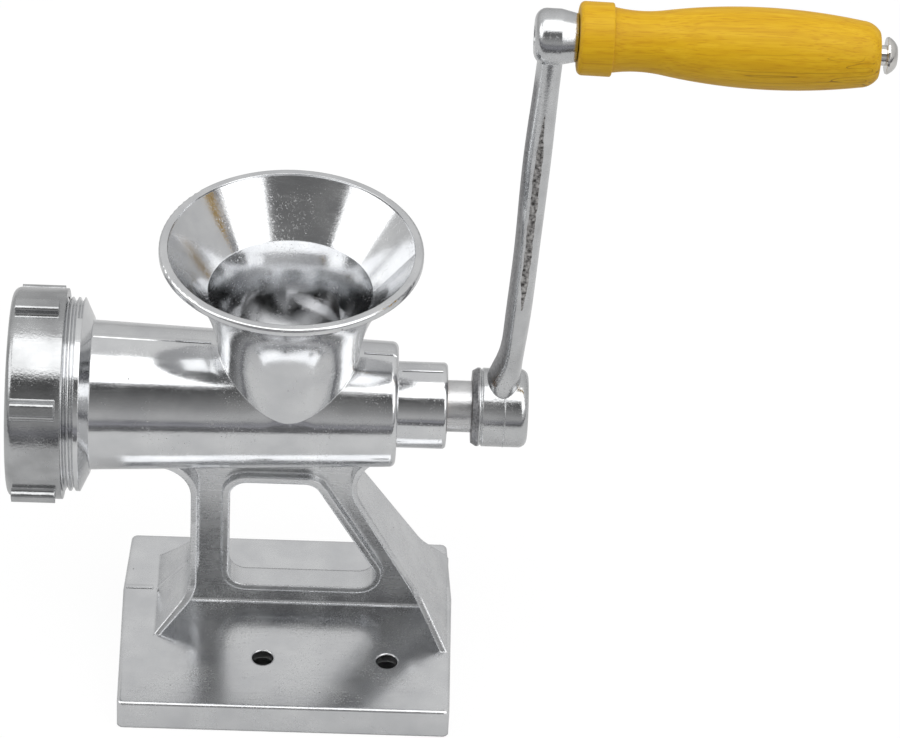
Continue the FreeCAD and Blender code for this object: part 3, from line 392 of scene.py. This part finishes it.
# %% Fine steps where the mould halves met
SEAM_WIDTH = 0.9 * MM
LOW_STEP = 0.2 * MM
HIGH_STEP = 0.4 * MM
SEAM_FADE = 4.0
SEAM_SINK = 0.02 * MM
BASE_LINE_Y = 3.0 * MM
OVER_BARREL = 117 * MM
OVER_BASE = 12 * MM
OVER_FOOT = 30 * MM


def pick_rows(piece, low, high):
    bpy.ops.object.mode_set(mode="EDIT")
    bpy.ops.mesh.select_all(action="DESELECT")
    bpy.ops.object.mode_set(mode="OBJECT")
    for point in piece.data.vertices:
        point.select = low < point.co.y < high
    bpy.ops.object.mode_set(mode="EDIT")


def crest_seam(name, start_x, end_x, start_z, height, y=0.0):
    bpy.ops.object.select_all(action="DESELECT")
    bpy.ops.mesh.primitive_grid_add(x_subdivisions=60, y_subdivisions=4, size=1.0)
    seam = bpy.context.object
    seam.name = name
    bpy.ops.object.mode_set(mode="EDIT")
    bpy.ops.mesh.select_mode(type="VERT")
    bpy.ops.mesh.select_all(action="SELECT")
    bpy.ops.transform.resize(value=(end_x - start_x, SEAM_WIDTH, 1))
    bpy.ops.transform.translate(value=((start_x + end_x) / 2, y, start_z))
    pick_rows(seam, y + 0.1 * SEAM_WIDTH, y + SEAM_WIDTH)
    bpy.ops.transform.resize(value=(1, SEAM_FADE, 1), center_override=(0, y, start_z))
    bpy.ops.object.mode_set(mode="OBJECT")
    drop = seam.modifiers.new("lie_on_metal", "SHRINKWRAP")
    drop.target = nodes["body_casting"]
    drop.wrap_method = "PROJECT"
    drop.use_project_z = True
    drop.use_positive_direction = False
    drop.use_negative_direction = True
    drop.offset = -SEAM_SINK
    bpy.ops.object.modifier_apply(modifier=drop.name)
    pick_rows(seam, y - 0.3 * SEAM_WIDTH, y + 1.2 * SEAM_WIDTH)
    bpy.ops.transform.translate(value=(0, 0, 0.6 * height))
    pick_rows(seam, y - 0.1 * SEAM_WIDTH, y + 0.1 * SEAM_WIDTH)
    bpy.ops.transform.translate(value=(0, 0, 0.4 * height))
    bpy.ops.object.mode_set(mode="OBJECT")
    bpy.ops.object.shade_smooth()
    seam.data.materials.append(seam_aluminium)
    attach(seam, "stand")
    return seam


seams = [
    crest_seam("barrel_seam_front", -61.5 * MM, -36.5 * MM, OVER_BARREL, LOW_STEP),
    crest_seam("barrel_seam_middle", -36.5 * MM, -25.5 * MM, OVER_BARREL, HIGH_STEP),
    crest_seam("barrel_seam_rear", 21.5 * MM, 31.5 * MM, OVER_BARREL, HIGH_STEP),
    crest_seam("rear_boss_seam", 33.5 * MM, 46.0 * MM, OVER_BARREL, HIGH_STEP),
    crest_seam("base_seam_left", -51.9 * MM, -43.2 * MM, OVER_BASE, HIGH_STEP, BASE_LINE_Y),
    crest_seam("foot_seam_left", -42.2 * MM, -32.4 * MM, OVER_FOOT, LOW_STEP, BASE_LINE_Y),
]
print("seams:", [(s.name, len(s.data.vertices)) for s in seams])

# %% [markdown]
# The crank was cast on its side, so its own parting line lies in the plane across its boss.
# A thin ring is sunk part of the way into the boss and widened, and its top, which would lie inside
# the arm, is cut off.

# %% Parting line round the crank boss
AXIS_HEIGHT = 92.6 * MM
BOSS_RADIUS = 12.2 * MM
BOSS_SEAM_X = 65.3 * MM
BOSS_SEAM_SINK = 0.06 * MM
BOSS_SEAM_RADIUS = 0.2 * MM
BOSS_SEAM_WIDEN = 1.4
ARM_ROOT_SHARE = 0.8

bpy.ops.object.select_all(action="DESELECT")
bpy.ops.mesh.primitive_torus_add(
    major_radius=BOSS_RADIUS - BOSS_SEAM_SINK,
    minor_radius=BOSS_SEAM_RADIUS,
    major_segments=120,
    minor_segments=10,
    rotation=(0, math.pi / 2, 0),
    location=(BOSS_SEAM_X, 0, AXIS_HEIGHT),
)
boss_seam = bpy.context.object
boss_seam.name = "boss_seam"
bpy.ops.object.transform_apply(location=True, rotation=True, scale=True)
bpy.ops.object.mode_set(mode="EDIT")
bpy.ops.mesh.select_all(action="SELECT")
bpy.ops.transform.resize(value=(BOSS_SEAM_WIDEN, 1, 1), center_override=(BOSS_SEAM_X, 0, AXIS_HEIGHT))
bpy.ops.mesh.bisect(
    plane_co=(0, 0, AXIS_HEIGHT + ARM_ROOT_SHARE * BOSS_RADIUS),
    plane_no=(0, 0, 1),
    clear_outer=True,
    use_fill=True,
)
bpy.ops.object.mode_set(mode="OBJECT")
bpy.ops.object.shade_smooth()
boss_seam.data.materials.append(arm_aluminium)
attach(boss_seam, "rotor")
print("boss seam:", len(boss_seam.data.polygons))

# %% [markdown]
# ## Trimmed flash on the arm
# Metal squeezed out between the mould halves was sheared off the front of the arm and left a rough,
# darker strip with a ragged edge. A grid stands in front of the arm, each row is narrowed by a
# different share, and Shrinkwrap lays it on the metal. Solidify then gives it a thin edge.

# %% Rough strip along the arm
STRIP_LOW = Vector((68.3 * MM, -20 * MM, 137 * MM))
STRIP_HIGH = Vector((71.2 * MM, -20 * MM, 208 * MM))
STRIP_WIDTH = 3.0 * MM
STRIP_ROWS = 64
STRIP_LIFT = 0.06 * MM
STRIP_THICK = 0.25 * MM
ROW_REACH = 0.01 * MM

strip_line = STRIP_HIGH - STRIP_LOW
strip_lean = math.atan2(strip_line.x, strip_line.z)
bpy.ops.object.select_all(action="DESELECT")
bpy.ops.mesh.primitive_grid_add(x_subdivisions=8, y_subdivisions=STRIP_ROWS, size=1.0)
arm_strip = bpy.context.object
arm_strip.name = "arm_flash_strip"
bpy.ops.object.mode_set(mode="EDIT")
bpy.ops.mesh.select_mode(type="VERT")
bpy.ops.mesh.select_all(action="SELECT")
bpy.ops.transform.resize(value=(STRIP_WIDTH, strip_line.length, 1))
for row in range(STRIP_ROWS + 1):
    share = row / STRIP_ROWS
    level = (share - 0.5) * strip_line.length
    pick_rows(arm_strip, level - ROW_REACH, level + ROW_REACH)
    taper = min(1.0, 0.15 + 6 * share, 0.15 + 4 * (1 - share))
    ragged = 0.72 + 0.05 * math.sin(2.1 * row) + 0.05 * math.sin(0.73 * row + 1)
    sway = 0.05 * MM * math.sin(1.3 * row) + 0.08 * MM * math.sin(0.41 * row)
    bpy.ops.transform.resize(value=(taper * ragged, 1, 1), center_override=(0, level, 0))
    bpy.ops.transform.translate(value=(sway, 0, 0))
bpy.ops.object.mode_set(mode="OBJECT")
arm_strip.rotation_euler = (math.pi / 2, strip_lean, 0)
arm_strip.location = (STRIP_LOW + STRIP_HIGH) / 2
bpy.ops.object.transform_apply(location=True, rotation=True, scale=True)
lay = arm_strip.modifiers.new("lie_on_arm", "SHRINKWRAP")
lay.target = nodes["crank_arm"]
lay.wrap_method = "PROJECT"
lay.use_project_y = True
lay.offset = STRIP_LIFT
bpy.ops.object.modifier_apply(modifier=lay.name)
edge = arm_strip.modifiers.new("thin_edge", "SOLIDIFY")
edge.thickness = STRIP_THICK
edge.offset = -1.0
bpy.ops.object.modifier_apply(modifier=edge.name)
bpy.ops.object.shade_smooth_by_angle(angle=math.radians(40))
arm_strip.data.materials.append(trimmed_flash)
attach(arm_strip, "rotor")
print("arm strip:", len(arm_strip.data.polygons), [round(v / MM, 1) for v in arm_strip.dimensions])

# %% [markdown]
# ## Studio
# The grinder stands on white paper, under one broad soft box and between two lower ones.
# Metal shows what stands round it, so the room in front, where the camera is, is left dark,
# and the room behind is pale. These give the white and dark bands on the barrel and in the hopper.
# The paper shines for the camera and in mirrors, and not under the base, where no light reaches.

# %% Floor
BASE_HALF_X = 50 * MM
BASE_MIDDLE_Y = -11 * MM
BASE_HALF_Y = 38 * MM
PAPER_GLOW = 1.06
CAMERA_SHARE = 0.88
MIRROR_SHARE = 0.1

bpy.ops.object.select_all(action="DESELECT")
bpy.ops.mesh.primitive_plane_add(size=30.0, location=(0, 0, -0.2 * MM))
floor = bpy.context.object
floor.name = "studio_floor"
floor_material, floor_tree, floor_shader = new_material("white paper floor", Roughness=0.9)
floor_shader.inputs["Base Color"].default_value = linear("#CACACA")
rays = add_node(floor_tree, "ShaderNodeLightPath").outputs
mirrored = calculate(floor_tree, "MAXIMUM", rays["Is Glossy Ray"], rays["Is Transmission Ray"])
seen = calculate(floor_tree, "MULTIPLY", rays["Is Camera Ray"], CAMERA_SHARE)
seen = calculate(floor_tree, "MULTIPLY_ADD", mirrored, MIRROR_SHARE, seen)
spot = add_node(floor_tree, "ShaderNodeTexCoord").outputs["Object"]
place = add_node(floor_tree, "ShaderNodeSeparateXYZ", {0: spot}).outputs
across = calculate(floor_tree, "COMPARE", place["X"], 0.0, BASE_HALF_X)
deep = calculate(floor_tree, "COMPARE", place["Y"], BASE_MIDDLE_Y, BASE_HALF_Y)
under = calculate(floor_tree, "MULTIPLY", across, deep)
open_air = calculate(floor_tree, "SUBTRACT", 1.0, under)
share = calculate(floor_tree, "MULTIPLY", seen, open_air)
glow = add_node(floor_tree, "ShaderNodeEmission", {"Color": (1, 1, 1, 1), "Strength": PAPER_GLOW})
blend = add_node(
    floor_tree, "ShaderNodeMixShader", {0: share, 1: floor_shader.outputs[0], 2: glow.outputs[0]}
)
floor_tree.links.new(blend.outputs[0], floor_tree.nodes["Material Output"].inputs["Surface"])
floor.data.materials.append(floor_material)
print("floor:", [round(v, 1) for v in floor.dimensions])

# %% [markdown]
# A dark cloth lies on the paper in front of the grinder, out of the picture, as a studio's flag does.
# Only mirrors see it: it darkens the low front reflections on the barrel and the nut,
# most of all in the strip nearest to the grinder.
# It is a plane that is stretched over the whole dark part of the room.

# %% Dark cloth in front
CLOTH_NEAR = -0.3
CLOTH_FAR = -9.0
DARK_STRIP_END = -0.6
STRIP_FADE = 0.1
CLOTH_WIDTH = 17.6
CLOTH_MIDDLE_X = -3.1
CLOTH_LIFT = 2 * MM

bpy.ops.object.select_all(action="DESELECT")
bpy.ops.mesh.primitive_plane_add(size=1.0)
cloth = bpy.context.object
cloth.name = "front_cloth"
bpy.ops.object.mode_set(mode="EDIT")
bpy.ops.mesh.select_all(action="SELECT")
bpy.ops.transform.resize(value=(CLOTH_WIDTH, CLOTH_NEAR - CLOTH_FAR, 1))
bpy.ops.transform.translate(value=(CLOTH_MIDDLE_X, (CLOTH_NEAR + CLOTH_FAR) / 2, CLOTH_LIFT))
bpy.ops.object.mode_set(mode="OBJECT")
cloth_material, cloth_tree, cloth_shader = new_material("dark felt", Roughness=1.0)
cloth_spot = add_node(cloth_tree, "ShaderNodeTexCoord").outputs["Object"]
cloth_place = add_node(cloth_tree, "ShaderNodeSeparateXYZ", {0: cloth_spot}).outputs
nearness = spread(cloth_tree, cloth_place["Y"], DARK_STRIP_END - STRIP_FADE, DARK_STRIP_END, 0.0, 1.0)
felt = colour_ramp(cloth_tree, nearness, (0.0, linear("#9A9AA0")), (1.0, linear("#58585A")))
cloth_tree.links.new(felt, cloth_shader.inputs["Base Color"])
cloth.data.materials.append(cloth_material)
cloth.visible_camera = False
cloth.visible_diffuse = False
cloth.visible_shadow = False
print("cloth:", [round(v, 2) for v in cloth.dimensions])

# %% [markdown]
# The room is a sky that is pale all round and dark in one round patch before the grinder.
# A dot product with the patch's middle tells how far a direction lies from it,
# and inside the patch a ramp on the height gives its darker and paler layers.

# %% Room
DARK_MIDDLE = (-0.23, -0.923, 0.309)
DARK_OUTER = 0.7
DARK_INNER = 0.8
PALE_LOW = 0.58
PALE_HIGH = 0.78
ROOM_LAYERS = ((0.0, 0.17), (0.22, 0.22), (0.34, 0.52), (0.46, 0.46), (0.58, 0.34), (0.95, 0.085))

world = bpy.data.worlds.new("studio_room")
bpy.context.scene.world = world
world.use_nodes = True
sky = world.node_tree
background = sky.nodes["Background"]
background.inputs["Color"].default_value = (1, 1, 1, 1)
toward = add_node(sky, "ShaderNodeTexCoord").outputs["Generated"]
height = add_node(sky, "ShaderNodeSeparateXYZ", {0: toward}).outputs["Z"]
facing = add_node(sky, "ShaderNodeVectorMath", {0: toward, 1: DARK_MIDDLE}, operation="DOT_PRODUCT")
dark_share = add_node(
    sky,
    "ShaderNodeMapRange",
    {0: facing.outputs["Value"], 1: DARK_OUTER, 2: DARK_INNER, 3: 0.0, 4: 1.0},
    interpolation_type="SMOOTHSTEP",
)
pale = spread(sky, height, 0.0, 0.8, PALE_LOW, PALE_HIGH)
lift = spread(sky, height, -0.35, 0.85, 0.0, 1.0)
layers = colour_ramp(sky, lift, *[(place, (grey, grey, grey, 1)) for place, grey in ROOM_LAYERS])
strength = add_node(
    sky,
    "ShaderNodeMix",
    {0: dark_share.outputs[0], 2: pale, 3: layers},
    data_type="FLOAT",
)
sky.links.new(strength.outputs[0], background.inputs["Strength"])
print("room:", world.name)

# %% [markdown]
# The soft boxes are rectangular area lamps. Their places were read from the photograph's own
# reflections: the broad white band on the barrel, and the two white patches inside the hopper.

# %% Soft boxes
def soft_box(name, location, target, width, height, watts):
    data = bpy.data.lights.new(name, "AREA")
    data.shape = "RECTANGLE"
    data.size = width
    data.size_y = height
    data.energy = watts
    lamp = bpy.data.objects.new(name, data)
    bpy.context.scene.collection.objects.link(lamp)
    lamp.location = location
    aim = (Vector(target) - Vector(location)).normalized()
    lamp.rotation_mode = "QUATERNION"
    lamp.rotation_quaternion = aim.to_track_quat("-Z", "Y")
    return lamp


soft_box("overhead_box", (0.03, -0.17, 1.05), (0.03, -0.05, 0.1), 1.5, 0.78, 5.4)
soft_box("right_box", (0.82, -0.60, 0.75), (0.0, 0.0, 0.1), 0.8, 0.68, 2.6)
soft_box("left_box", (-1.0, -0.18, 0.74), (0.0, 0.0, 0.1), 0.9, 0.6, 2.4)

# %% [markdown]
# ## Camera
# The viewing angle was solved from the photograph: a long lens, about 39 degrees above the table,
# turned and rolled a little. The camera's axes are set from these angles.

# %% Camera
CAMERA_TURN = math.radians(-2.244)
CAMERA_RISE = math.radians(38.997)
CAMERA_ROLL = math.radians(3.266)
CAMERA_DISTANCE = 1350.22 * MM
CAMERA_TARGET = Vector((48.02 * MM, 0, 107.31 * MM))
LENS_MM = 175.46
SENSOR_MM = 36.0

back = Vector((
    math.sin(CAMERA_TURN) * math.cos(CAMERA_RISE),
    -math.cos(CAMERA_TURN) * math.cos(CAMERA_RISE),
    math.sin(CAMERA_RISE),
))
level = Vector((math.cos(CAMERA_TURN), math.sin(CAMERA_TURN), 0))
upright = back.cross(level)
right = level * math.cos(CAMERA_ROLL) + upright * math.sin(CAMERA_ROLL)
above = upright * math.cos(CAMERA_ROLL) - level * math.sin(CAMERA_ROLL)
lens = bpy.data.cameras.new("photo_camera")
lens.sensor_fit = "HORIZONTAL"
lens.sensor_width = SENSOR_MM
lens.lens = LENS_MM
lens.clip_start = 0.05
lens.clip_end = 50.0
camera = bpy.data.objects.new("photo_camera", lens)
bpy.context.scene.collection.objects.link(camera)
turn = Matrix((right, above, back)).transposed().to_4x4()
camera.matrix_world = Matrix.Translation(CAMERA_TARGET + back * CAMERA_DISTANCE) @ turn
bpy.context.scene.camera = camera
bpy.context.scene.view_settings.view_transform = "Standard"
print("camera at", [round(v, 3) for v in camera.matrix_world.translation])
